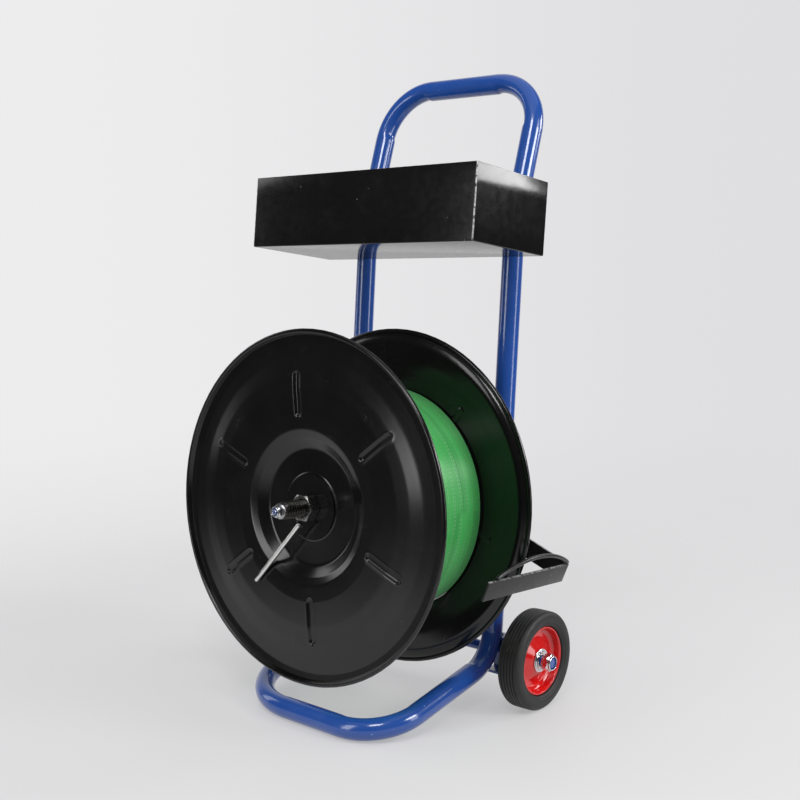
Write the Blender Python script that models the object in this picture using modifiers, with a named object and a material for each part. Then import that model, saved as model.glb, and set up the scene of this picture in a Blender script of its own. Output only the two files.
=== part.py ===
"""Strapping dispenser cart: tubular two-wheel trolley with a strap reel, tool tray and strap guide.

Millimetres in the constants, metres in the model, +Z up, the cart faces -Y.
"""
import math

import bmesh
import bpy
from mathutils import Matrix, Vector

MM = 0.001
GAP = 0.3                    # clearance kept between touching pieces

# Model origin: middle of the footprint, on the floor
SHIFT_X = -13.79
SHIFT_Y = 141.19

# Tubular frame
TUBE_OD = 32.0
TUBE_WALL = 2.0
FRAME_WIDTH = 292.6          # between the two tube centre lines
FRAME_LEAN = 0.0669          # uprights lean back, radians
HANDLE_LEAN = 0.3065
BEND_Z = 735.6               # height of the handle's bend, hidden behind the tray
HANDLE_LENGTH = 223.5
HANDLE_CORNER = 79.0
HANDLE_KNEE = 200.0
FOOT_FRONT_Y = -304.0
FOOT_SLOPE = 0.183
FOOT_CORNER_LEFT = 106.0
FOOT_CORNER_RIGHT = 76.0
FOOT_KNEE = 65.0
SPLIT_UPPER_Z = 702.0        # butt joints between the bent tubes
SPLIT_LOWER_Z = 200.0

# Tool tray
TRAY_SIZE = (426.8, 176.6, 107.9)
TRAY_SHEET = 1.6
TRAY_LEAN = 0.1134
TRAY_ROLL = 0.017            # the tray hangs a little low on its left
TRAY_REAR_Y = -22.4
TRAY_BASE_Z = 676.9

# Reel: distances along the axis are measured forward from the plane of the uprights
REEL_Z = 307.2
REEL_TILT = 0.0545           # the loaded spindle sags a little from square to the uprights
FRONT_DISC_R = 256.0
REAR_DISC_R = 258.2
DISC_SHEET = 2.0
FRONT_DISC = 276.1
REAR_DISC = 80.7
RECESS_DEPTH = 14.0
COIL_R = 173.0
CORE_R = 104.0
SLEEVE_R = 12.5
STUD_R = 7.0

# Clamp nut and lever
NUT_AF = 36.0
NUT_BACK = 264.6
NUT_FRONT = 283.0
LEVER_D = 7.0
LEVER_START = (-0.9, -21.9)
LEVER_END = (-86.6, -119.8)

# Strap guide on the right upright
BAR_WIDTH = 29.0
BAR_THICK = 4.0
BAR_SLOPE = math.radians(20.5)
BAR_CORNER = (276.0, -74.2)
BAR_REACH = 201.0
ROD_D = 6.0
ROD_RISE = 21.0

# Wheels
WHEEL_Z = 75.1
WHEEL_X = 215.5
TYRE_R = 75.1
TYRE_HALF = 20.0
AXLE_D = 16.0
AXLE_END = 247.4
NUT_FACE = 234.2              # outer face of the wheel, where its washer sits
CHANNEL_START = 134.0        # axle channels: inner and outer end, lowest and highest edge
CHANNEL_END = 192.0
CHANNEL_LOW = -34.0
CHANNEL_HIGH = 26.0

ROUND = 56


# ---------------------------------------------------------------- materials
def material(name, color, metallic, roughness):
    mat = bpy.data.materials.new(name)
    mat.use_nodes = True
    shader = mat.node_tree.nodes["Principled BSDF"]
    shader.inputs["Base Color"].default_value = (*color, 1.0)
    shader.inputs["Metallic"].default_value = metallic
    shader.inputs["Roughness"].default_value = roughness
    mat.diffuse_color = (*color, 1.0)
    return mat


def make_materials():
    return {
        "blue": ((0.02, 0.08, 0.38), 0.0, 0.2),
        "black": ((0.006, 0.006, 0.006), 0.0, 0.35),
        "black_steel": ((0.02, 0.02, 0.02), 0.5, 0.4),
        "zinc": ((0.62, 0.63, 0.65), 1.0, 0.28),
        "green": ((0.02, 0.42, 0.06), 0.0, 0.3),
        "board": ((0.42, 0.28, 0.16), 0.0, 0.8),
        "rubber": ((0.018, 0.018, 0.017), 0.0, 0.7),
        "red": ((0.6, 0.01, 0.01), 0.0, 0.25),
    }


PALETTE = make_materials()


# ---------------------------------------------------------------- derived places
def find_knee():
    """Corner in the side view where the line of the uprights meets the line of the foot."""
    rise = math.tan(FOOT_SLOPE)
    lean = math.tan(FRAME_LEAN)
    z = (TUBE_OD / 2.0 + rise * (-FOOT_FRONT_Y - BEND_Z * lean)) / (1.0 - rise * lean)
    return -(BEND_Z - z) * lean, z


def find_axle_y():
    """The axle lies against the back of both knee bends, at the height of the wheel centres."""
    knee_y, knee_z = find_knee()
    up = Vector((math.sin(FRAME_LEAN), math.cos(FRAME_LEAN)))
    ahead = Vector((-math.cos(FOOT_SLOPE), -math.sin(FOOT_SLOPE)))
    turn = math.pi - up.angle(ahead)
    centre = Vector((knee_y, knee_z)) + (up + ahead).normalized() * FOOT_KNEE / math.cos(turn / 2.0)
    reach = FOOT_KNEE + TUBE_OD / 2.0 + AXLE_D / 2.0 + GAP
    return centre.x + math.sqrt(reach ** 2 - (centre.y - WHEEL_Z) ** 2)


AXLE_Y = find_axle_y()


# ---------------------------------------------------------------- placing
LEAN = FRAME_LEAN
UP = Vector((0.0, math.sin(LEAN), math.cos(LEAN)))
FORWARD = Vector((0.0, -math.cos(LEAN), math.sin(LEAN)))
REEL_BASE = Vector((0.0, -(BEND_Z - REEL_Z) * math.tan(LEAN), REEL_Z))
REEL_UP = Vector((0.0, math.sin(REEL_TILT), math.cos(REEL_TILT)))
REEL_AXIS = Vector((0.0, -math.cos(REEL_TILT), math.sin(REEL_TILT)))


def placed(origin, x_axis, y_axis, z_axis):
    """Matrix of a local frame given in millimetres, moved by the model's shift."""
    shift = Vector((SHIFT_X, SHIFT_Y, 0.0))
    rot = Matrix((x_axis, y_axis, z_axis)).transposed().to_4x4()
    return Matrix.Translation((Vector(origin) + shift) * MM) @ rot


def reel_frame(distance=0.0):
    """Local X across, local Y up, local Z forward along the reel axis."""
    return placed(REEL_BASE + REEL_AXIS * distance, Vector((1.0, 0.0, 0.0)), REEL_UP, REEL_AXIS)


def axle_frame(x, side):
    """Local Z points outward along the wheel axle on the given side."""
    out = Vector((side, 0.0, 0.0))
    up = Vector((0.0, 0.0, 1.0))
    return placed((x, AXLE_Y, WHEEL_Z), up.cross(out), up, out)


def world_frame(origin=(0.0, 0.0, 0.0)):
    return placed(origin, Vector((1, 0, 0)), Vector((0, 1, 0)), Vector((0, 0, 1)))


# ---------------------------------------------------------------- building
def add_object(name, data, key, matrix):
    obj = bpy.data.objects.new(name, data)
    bpy.context.scene.collection.objects.link(obj)
    obj.matrix_world = matrix
    if data.materials:
        data.materials.clear()
    color, metallic, roughness = PALETTE[key]
    data.materials.append(material("mat_" + name, color, metallic, roughness))
    return obj


def finish_round(obj, angle=35.0):
    obj.data.shade_smooth()
    obj.data.set_sharp_from_angle(angle=math.radians(angle))


def turned(name, profile, key, matrix, steps=ROUND, closed=True):
    """Turn a (radius, height) profile about local Z; a closed one is a ring."""
    points = list(profile)
    if closed:
        area = 0.0
        for (r0, z0), (r1, z1) in zip(points, points[1:] + points[:1]):
            area += r0 * z1 - r1 * z0
        if area > 0.0:
            points.reverse()
    mesh = bpy.data.meshes.new(name)
    edges = [(i, i + 1) for i in range(len(points) - 1)]
    if closed:
        edges.append((len(points) - 1, 0))
    mesh.from_pydata([(r * MM, 0.0, z * MM) for r, z in points], edges, [])
    obj = add_object(name, mesh, key, matrix)
    screw = obj.modifiers.new("turn", "SCREW")
    screw.axis = "Z"
    screw.angle = math.tau
    screw.steps = steps
    screw.render_steps = steps
    screw.use_merge_vertices = True
    screw.merge_threshold = 0.00001
    screw.use_smooth_shade = False
    return obj


def plate(name, outlines, thickness, key, matrix, bevel=0.0):
    """Flat outlines in local XY (holes included) given a thickness along +Z."""
    curve = bpy.data.curves.new(name + "_outline", "CURVE")
    curve.dimensions = "2D"
    curve.fill_mode = "BOTH"
    curve.extrude = thickness * MM / 2.0
    for outline in outlines:
        spline = curve.splines.new("POLY")
        spline.points.add(len(outline) - 1)
        for point, (x, y) in zip(spline.points, outline):
            point.co = (x * MM, y * MM, 0.0, 1.0)
        spline.use_cyclic_u = True
    mesh = mesh_from_curve(name, curve)
    for vertex in mesh.vertices:
        vertex.co.z += thickness * MM / 2.0
    obj = add_object(name, mesh, key, matrix)
    if bevel:
        add_bevel(obj, bevel)
    return obj


def mesh_from_curve(name, curve):
    """Mesh of a curve object, with the doubled points along its seams merged."""
    curve.render_resolution_u = 0
    temp = bpy.data.objects.new(name + "_temp", curve)
    bpy.context.scene.collection.objects.link(temp)
    bpy.context.view_layer.update()
    graph = bpy.context.evaluated_depsgraph_get()
    mesh = bpy.data.meshes.new_from_object(temp.evaluated_get(graph))
    mesh.name = name
    bpy.data.objects.remove(temp)
    bpy.data.curves.remove(curve)
    work = bmesh.new()
    work.from_mesh(mesh)
    bmesh.ops.remove_doubles(work, verts=work.verts, dist=0.00001)
    bmesh.ops.recalc_face_normals(work, faces=work.faces)
    work.to_mesh(mesh)
    work.free()
    return mesh


def add_bevel(obj, width, segments=1, angle=50.0):
    bevel = obj.modifiers.new("edge", "BEVEL")
    bevel.width = width * MM
    bevel.segments = segments
    bevel.limit_method = "ANGLE"
    bevel.angle_limit = math.radians(angle)
    return bevel


def swept(name, path, diameter, key, wall=0.0, sides=12):
    """Round bar along a path in millimetres, or an open-ended tube when it has a wall."""
    origin = Vector(path[0])
    curve = bpy.data.curves.new(name + "_path", "CURVE")
    curve.dimensions = "3D"
    curve.bevel_depth = diameter * MM / 2.0
    curve.bevel_resolution = sides // 2 - 2
    curve.use_fill_caps = wall == 0.0
    curve.twist_mode = "MINIMUM"
    spline = curve.splines.new("POLY")
    spline.points.add(len(path) - 1)
    for point, place in zip(spline.points, path):
        point.co = (*((Vector(place) - origin) * MM), 1.0)
    mesh = mesh_from_curve(name, curve)
    obj = add_object(name, mesh, key, world_frame(origin))
    if wall:
        solid = obj.modifiers.new("wall", "SOLIDIFY")
        solid.thickness = wall * MM
        solid.offset = -1.0
        solid.use_rim = True
        solid.use_even_offset = True
    return obj


def block(name, size, key, matrix, bevel=0.0):
    """Box centred on the local frame."""
    mesh = bpy.data.meshes.new(name)
    work = bmesh.new()
    bmesh.ops.create_cube(work, size=1.0)
    bmesh.ops.scale(work, vec=Vector(size) * MM, verts=work.verts)
    work.to_mesh(mesh)
    work.free()
    obj = add_object(name, mesh, key, matrix)
    if bevel:
        add_bevel(obj, bevel)
    return obj


def cut(obj, cutter):
    """Take the cutter's shape out of the object."""
    bpy.context.scene.collection.objects.unlink(cutter)
    CUTTERS.objects.link(cutter)
    cutter.hide_render = True
    cutter.display_type = "WIRE"
    boolean = obj.modifiers.new("cut", "BOOLEAN")
    boolean.operation = "DIFFERENCE"
    boolean.solver = "EXACT"
    boolean.object = cutter


def rounded_path(corners, radii, step=math.radians(10.0)):
    """Polyline through the corners with an arc of the given radius at each inner corner."""
    points = [Vector(corners[0])]
    for before, corner, after, radius in zip(corners, corners[1:], corners[2:], radii):
        corner = Vector(corner)
        back = (Vector(before) - corner).normalized()
        ahead = (Vector(after) - corner).normalized()
        turn = math.pi - back.angle(ahead)
        reach = radius * math.tan(turn / 2.0)
        middle = (back + ahead).normalized()
        centre = corner + middle * (radius / math.cos(turn / 2.0))
        first = corner + back * reach - centre
        last = corner + ahead * reach - centre
        count = max(2, math.ceil(turn / step))
        axis = first.cross(last).normalized()
        for i in range(count + 1):
            spin = Matrix.Rotation(turn * i / count, 3, axis)
            points.append(centre + spin @ first)
    points.append(Vector(corners[-1]))
    return points


def circle(radius, count, start=0.0):
    return [(radius * math.cos(start + math.tau * i / count),
             radius * math.sin(start + math.tau * i / count)) for i in range(count)]


def hexagon(across_flats, start=0.0):
    return circle(across_flats / math.sqrt(3.0), 6, start)


def ring(inner, outer, low, high, edge=0.0):
    """Profile of a plain ring, with its four corners broken by the given edge."""
    if not edge:
        return [(inner, low), (inner, high), (outer, high), (outer, low)]
    return [(inner + edge, low), (inner, low + edge), (inner, high - edge), (inner + edge, high),
            (outer - edge, high), (outer, high - edge), (outer, low + edge), (outer - edge, low)]


# ---------------------------------------------------------------- clean start
for old in list(bpy.data.objects):
    bpy.data.objects.remove(old)
CUTTERS = bpy.data.collections.new("cutters")
bpy.context.scene.collection.children.link(CUTTERS)


# ---------------------------------------------------------------- frame tubes
HALF = FRAME_WIDTH / 2.0


def on_upright(x, z):
    return (x, -(BEND_Z - z) * math.tan(LEAN), z)


def make_frame():
    top = Vector((0.0, math.sin(HANDLE_LEAN), math.cos(HANDLE_LEAN))) * HANDLE_LENGTH
    corners = [on_upright(-HALF, SPLIT_UPPER_Z + GAP / 2.0), (-HALF, 0.0, BEND_Z)]
    corners += [Vector((side * HALF, 0.0, BEND_Z)) + top for side in (-1, 1)]
    corners += [(HALF, 0.0, BEND_Z), on_upright(HALF, SPLIT_UPPER_Z + GAP / 2.0)]
    radii = [HANDLE_KNEE, HANDLE_CORNER, HANDLE_CORNER, HANDLE_KNEE]
    swept("handle_loop", rounded_path(corners, radii), TUBE_OD, "blue", TUBE_WALL)

    for side, label in ((-1, "left"), (1, "right")):
        low = on_upright(side * HALF, SPLIT_LOWER_Z + GAP / 2.0)
        high = on_upright(side * HALF, SPLIT_UPPER_Z - GAP / 2.0)
        swept("upright_" + label, [low, high], TUBE_OD, "blue", TUBE_WALL)

    knee_y, knee_z = find_knee()
    front_z = TUBE_OD / 2.0
    path = [on_upright(-HALF, SPLIT_LOWER_Z - GAP / 2.0), (-HALF, knee_y, knee_z)]
    path += [(-HALF, FOOT_FRONT_Y, front_z), (HALF, FOOT_FRONT_Y, front_z)]
    path += [(HALF, knee_y, knee_z), on_upright(HALF, SPLIT_LOWER_Z - GAP / 2.0)]
    radii = [FOOT_KNEE, FOOT_CORNER_LEFT, FOOT_CORNER_RIGHT, FOOT_KNEE]
    swept("foot_loop", rounded_path(path, radii), TUBE_OD, "blue", TUBE_WALL)

    span = FRAME_WIDTH - TUBE_OD - 2.0 * GAP
    block("reel_crossbar", (span, 50.0, 8.0), "blue", reel_frame(), 1.0)


def make_tray():
    across = Vector((1.0, 0.0, 0.0))
    up = Vector((0.0, math.sin(TRAY_LEAN), math.cos(TRAY_LEAN)))
    back = up.cross(across)
    roll = Matrix.Rotation(-TRAY_ROLL, 3, back)
    across = roll @ across
    up = roll @ up
    width, depth, height = TRAY_SIZE
    corner = Vector((0.0, TRAY_REAR_Y, TRAY_BASE_Z))
    middle = corner - back * (depth / 2.0) + up * (height / 2.0)
    tray = block("tool_tray", TRAY_SIZE, "black", placed(middle, across, back, up))
    inner = (width - 2 * TRAY_SHEET, depth - 2 * TRAY_SHEET, height)
    space = block("tray_space", inner, "black", placed(middle + up * TRAY_SHEET, across, back, up))
    cut(tray, space)


# ---------------------------------------------------------------- reel
def disc_profile(side, rim):
    """Pressed flange section: rolled rim, falling outer band, crowned annulus, recess, bored floor."""
    t = DISC_SHEET
    deep = -RECESS_DEPTH - 1.0
    crown = [(110.0, -0.8), (135.0, 1.2), (172.0, 1.6), (194.0, -0.2), (216.0, -3.4),
             (236.0, -4.8)]
    outer = [(SLEEVE_R + GAP, deep), (84.0, deep), (90.0, deep + 2.4), (103.0, -3.5), *crown,
             (rim - 9.0, -3.8), (rim - 6.0, 1.6), (rim - 4.0, 3.6), (rim - 1.8, 3.4), (rim, 1.2)]
    inner = [(rim, -1.2), (rim - 1.8, -3.2), (rim - 5.0, -3.9), (rim - 8.2, -6.0),
             *[(r, z - t) for r, z in reversed(crown)],
             (105.0, -5.4), (91.4, deep + 0.4), (85.0, deep - t), (SLEEVE_R + GAP, deep - t)]
    return [(r, side * z) for r, z in outer + inner]


def make_reel():
    turned("rear_disc", disc_profile(-1, REAR_DISC_R), "black", reel_frame(REAR_DISC))
    turned("front_disc", disc_profile(1, FRONT_DISC_R), "black", reel_frame(FRONT_DISC))

    start = REAR_DISC + 4.6
    end = FRONT_DISC - 4.6
    bore = CORE_R + GAP
    coil = [(bore, start + 5.0), (bore, end - 5.0), (bore + 7.0, end), (COIL_R - 2.0, end),
            (COIL_R, end - 2.0), (COIL_R, start + 2.0), (COIL_R - 2.0, start), (bore + 7.0, start)]
    turned("strap_coil", coil, "green", reel_frame())
    turned("strap_core", ring(CORE_R - 4.0, CORE_R, start + 5.2, end - 5.2), "board", reel_frame(),
           steps=40)

    plate_r = 47.0
    back = REAR_DISC + RECESS_DEPTH + 1.0 - GAP
    turned("rear_hub_plate", ring(SLEEVE_R + GAP, plate_r, back - 4.0, back), "black",
           reel_frame(), steps=40)
    front = FRONT_DISC - RECESS_DEPTH - 1.0 + GAP
    turned("pressure_plate", ring(SLEEVE_R + GAP, plate_r, front, front + 3.0), "black",
           reel_frame(), steps=40)

    turned("spindle_sleeve", ring(STUD_R + GAP, SLEEVE_R, 60.0, 322.5, 1.0), "black_steel",
           reel_frame(), steps=32)
    stud = [(0.0, 337.0), (4.2, 337.0), (5.0, 336.0), (5.0, 322.8 - 0.8), (STUD_R, 322.0 - 1.2),
            (STUD_R, 59.7), (16.0, 59.7), (16.0, 4.0 + GAP), (0.0, 4.0 + GAP)]
    turned("reel_stud", stud, "blue", reel_frame(), steps=24, closed=False)
    turned("stud_washer", ring(5.3, 11.0, 322.8, 325.0), "zinc", reel_frame(), steps=28)
    locknut("stud_locknut", reel_frame(325.3), 16.0, 5.3, 10.4, 0.5)


def locknut(name, matrix, across_flats, bore, height, start):
    """Hexagon nut with a round collar at its outer end."""
    hexed = plate(name, [hexagon(across_flats, start), circle(bore, 20)], height * 0.68, "zinc",
                  matrix)
    collar = turned(name + "_collar", ring(bore, across_flats * 0.46, 0.0, height, 0.0), "zinc",
                    matrix, steps=20)
    union = hexed.modifiers.new("collar", "BOOLEAN")
    union.operation = "UNION"
    union.solver = "EXACT"
    union.object = collar
    bpy.context.scene.collection.objects.unlink(collar)
    CUTTERS.objects.link(collar)
    collar.hide_render = True
    collar.display_type = "WIRE"


def make_clamp():
    plate("clamp_nut", [hexagon(NUT_AF), circle(SLEEVE_R + GAP, 32)], NUT_FRONT - NUT_BACK,
          "black_steel", reel_frame(NUT_BACK), 0.8)
    level = NUT_FRONT - 0.5
    start = Vector((*LEVER_START, 0.0))
    along = Vector((*LEVER_END, 0.0)) - start
    frame = reel_frame(level) @ Matrix.Translation(start * MM)
    turn = along.to_track_quat("Z", "Y").to_matrix().to_4x4()
    length = along.length
    radius = LEVER_D / 2.0
    bar = [(0.0, length), (radius - 0.6, length), (radius, length - 0.6), (radius, 0.6),
           (radius - 0.6, 0.0), (0.0, 0.0)]
    turned("clamp_lever", bar, "zinc", frame @ turn, steps=16, closed=False)


# ---------------------------------------------------------------- strap guide
def make_guide():
    slope = Vector((math.cos(BAR_SLOPE), -math.sin(BAR_SLOPE)))
    along = Vector((slope.x, 0.0, 0.0)) + UP * slope.y
    down = along.cross(FORWARD)
    corner = REEL_BASE + Vector((BAR_CORNER[0], 0.0, 0.0)) + UP * BAR_CORNER[1]
    arm = (BAR_CORNER[0] - HALF - 4.0) / slope.x
    half = BAR_THICK / 2.0
    bend = 5.0
    outline = [(-arm, -half), (-bend, -half)]
    for i in range(1, 6):
        angle = math.radians(-90.0 + 90.0 * i / 6.0)
        outline.append((-bend + bend * math.cos(angle), -half + bend + bend * math.sin(angle)))
    outline += [(0.0, -half + bend), (0.0, BAR_REACH), (-BAR_THICK, BAR_REACH),
                (-BAR_THICK, -half + bend), (-bend, half), (-arm, half)]
    bar = plate("guide_bar", [outline], BAR_WIDTH, "black_steel",
                placed(corner, along, FORWARD, down))
    tube = turned("guide_notch", [(0.0, 90.0), (TUBE_OD / 2.0 + GAP, 90.0),
                                  (TUBE_OD / 2.0 + GAP, -90.0), (0.0, -90.0)], "blue",
                  placed(REEL_BASE + Vector((HALF, 0.0, 0.0)) + UP * -40.0,
                         Vector((1.0, 0.0, 0.0)), -FORWARD, UP), steps=32, closed=False)
    cut(bar, tube)

    chord = 178.0
    rise = ROD_RISE
    radius = (chord * chord / 4.0 + rise * rise) / (2.0 * rise)
    half_angle = math.asin(chord / 2.0 / radius)
    path = []
    for i in range(13):
        angle = -half_angle + 2.0 * half_angle * i / 12.0
        ahead = 5.0 + chord / 2.0 + radius * math.sin(angle)
        high = 3.7 + radius * math.cos(angle) - radius * math.cos(half_angle)
        path.append(corner - along * (BAR_THICK / 2.0) + FORWARD * ahead - down * high)
    swept("guide_rod", path, ROD_D, "black_steel", sides=10)


# ---------------------------------------------------------------- wheels
def make_axle():
    end = AXLE_END
    bar = [(0.0, end), (6.8, end), (8.0, end - 1.2), (8.0, -end + 1.2), (6.8, -end), (0.0, -end)]
    turned("wheel_axle", bar, "blue", axle_frame(0.0, 1), steps=24, closed=False)

    # Channels behind the tubes: upright web behind the axle, flanges pointing forward
    back = AXLE_D / 2.0 + GAP
    reach = 14.0
    sheet = 4.0
    low, high = CHANNEL_LOW, CHANNEL_HIGH
    section = [(-back - sheet, low), (reach, low), (reach, low + sheet), (-back, low + sheet),
               (-back, high - sheet), (reach, high - sheet), (reach, high), (-back - sheet, high)]
    notch = TUBE_OD / 2.0 + GAP
    for side, label in ((-1, "left"), (1, "right")):
        shape = [(side * -y, z) for y, z in section]
        channel = plate("axle_channel_" + label, [shape], CHANNEL_END - CHANNEL_START, "blue",
                        axle_frame(side * CHANNEL_START, side))
        centre = Vector(on_upright(side * HALF, WHEEL_Z + high))
        tube = turned("channel_notch_" + label, [(0.0, 20.0), (notch, 20.0), (notch, -20.0),
                                                 (0.0, -20.0)], "blue",
                      placed(centre, Vector((1.0, 0.0, 0.0)), -FORWARD, UP), steps=32,
                      closed=False)
        cut(channel, tube)


def make_wheel(side, label):
    frame = axle_frame(side * WHEEL_X, side)
    outer = [(52.2, 13.0), (54.0, 17.4), (62.0, TYRE_HALF), (69.5, 19.2), (74.6, 14.6),
             (TYRE_R, 11.6), (TYRE_R - 1.5, 10.6), (TYRE_R, 9.6), (TYRE_R, 6.3),
             (TYRE_R - 1.5, 5.3), (TYRE_R, 4.3), (TYRE_R, 1.0)]
    section = outer + [(TYRE_R - 1.5, 0.0)] + [(r, -z) for r, z in reversed(outer)]
    turned("tyre_" + label, section, "rubber", frame, steps=40)

    rim = [(51.8, 13.6), (50.4, 14.2), (48.6, 12.4), (47.2, 4.0), (42.0, 0.4), (34.0, 1.0),
           (19.0, 9.4), (13.3, 9.8), (13.3, 7.6), (18.4, 7.2), (33.6, -1.2), (42.2, -1.8),
           (47.4, -3.0), (49.2, -12.4), (50.4, -14.2), (51.8, -13.6)]
    turned("rim_" + label, rim, "red", frame, steps=36)

    bore = AXLE_D / 2.0 + GAP
    bearing = [(bore, 13.6), (bore, -16.0), (13.0, -16.0), (13.0, 10.1), (17.6, 10.1),
               (18.0, 10.6), (18.0, 11.8), (15.0, 12.2), (14.2, 13.6)]
    turned("wheel_bearing_" + label, bearing, "zinc", frame, steps=24)

    turned("wheel_washer_" + label, ring(bore, 12.4, 0.0, 2.4), "zinc",
           axle_frame(side * NUT_FACE, side), steps=28)
    locknut("wheel_locknut_" + label, axle_frame(side * (NUT_FACE + 2.7), side), 24.0, bore,
            12.0, 0.3)


make_frame()
make_tray()
make_reel()
make_clamp()
make_guide()
make_axle()
for wheel_side, wheel_label in ((-1, "left"), (1, "right")):
    make_wheel(wheel_side, wheel_label)

for item in bpy.context.scene.collection.objects:
    finish_round(item)
for item in CUTTERS.objects:
    item.hide_viewport = False
bpy.context.view_layer.update()
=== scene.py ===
"""Looks of the strapping dispenser cart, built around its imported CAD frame.

Sizes are in millimetres, placed in the CAD's frame (metres); reel parts use the reel's own frame.
"""
import math

import bmesh
import bpy
from mathutils import Matrix, Vector, noise


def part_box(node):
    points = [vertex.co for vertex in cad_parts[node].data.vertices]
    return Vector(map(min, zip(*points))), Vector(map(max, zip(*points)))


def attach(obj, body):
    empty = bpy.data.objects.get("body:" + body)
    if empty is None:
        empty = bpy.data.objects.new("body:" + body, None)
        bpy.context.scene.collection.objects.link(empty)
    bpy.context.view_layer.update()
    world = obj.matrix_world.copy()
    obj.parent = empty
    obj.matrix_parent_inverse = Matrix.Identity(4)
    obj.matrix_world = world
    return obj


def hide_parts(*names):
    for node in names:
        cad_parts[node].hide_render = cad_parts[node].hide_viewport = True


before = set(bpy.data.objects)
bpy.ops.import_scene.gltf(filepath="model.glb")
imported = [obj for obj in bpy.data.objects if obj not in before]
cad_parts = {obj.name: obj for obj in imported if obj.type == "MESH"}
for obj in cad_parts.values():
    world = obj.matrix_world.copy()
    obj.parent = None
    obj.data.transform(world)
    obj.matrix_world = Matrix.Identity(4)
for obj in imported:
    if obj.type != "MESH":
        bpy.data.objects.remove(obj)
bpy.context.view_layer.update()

MM = 0.001
TAU = math.tau
SHIFT = Vector((-13.79, 141.19, 0.0))     # CAD drawing frame to model frame
ACROSS = Vector((1.0, 0.0, 0.0))

LEAN = 0.0669                             # backward lean of the uprights, radians
BEND_Z = 735.6                            # height where the uprights bend into the handle
HALF = 146.3                              # half the distance between the uprights' middles
UP = Vector((0.0, math.sin(LEAN), math.cos(LEAN)))
FORWARD = Vector((0.0, -math.cos(LEAN), math.sin(LEAN)))
REEL_Z = 307.2                            # height at which the reel axis meets the uprights
REEL_TILT = 0.0545                        # the loaded spindle sags a little
REEL_BASE = Vector((0.0, -(BEND_Z - REEL_Z) * math.tan(LEAN), REEL_Z))
REEL_UP = Vector((0.0, math.sin(REEL_TILT), math.cos(REEL_TILT)))
REEL_AXIS = Vector((0.0, -math.cos(REEL_TILT), math.sin(REEL_TILT)))
FRONT_DISC = 276.1                        # distances of the discs along the reel axis
REAR_DISC = 80.7
FRONT_RIM_R, REAR_RIM_R = 256.0, 258.2
COIL_R = 173.0
WHEEL_Z = 75.1                            # height of the axle


# ---------------------------------------------------------------- places
def placed(origin, x_axis, y_axis, z_axis):
    """Model matrix of a local frame given in the CAD drawing's millimetres."""
    rot = Matrix((x_axis, y_axis, z_axis)).transposed().to_4x4()
    return Matrix.Translation((Vector(origin) + SHIFT) * MM) @ rot


def reel_frame(distance=0.0):
    """Local X across, Y up, Z forward along the reel axis."""
    return placed(REEL_BASE + REEL_AXIS * distance, ACROSS, REEL_UP, REEL_AXIS)


def axle_frame(x, side):
    """Local Z points outward along the wheel axle."""
    low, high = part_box("wheel_axle")
    middle = (low + high) / 2.0 / MM - SHIFT
    out = Vector((side, 0.0, 0.0))
    up = Vector((0.0, 0.0, 1.0))
    return placed((x, middle.y, middle.z), up.cross(out), up, out)


WORLD = placed((0.0, 0.0, 0.0), ACROSS, Vector((0, 1, 0)), Vector((0, 0, 1)))


def polar(radius, angle, height=0.0):
    return radius * math.cos(angle), radius * math.sin(angle), height


def smooth(low, high, value):
    t = min(max((value - low) / (high - low), 0.0), 1.0)
    return t * t * (3.0 - 2.0 * t)


# ---------------------------------------------------------------- materials
def rgba_sockets(sockets):
    return [socket for socket in sockets if socket.type == "RGBA"]


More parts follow.
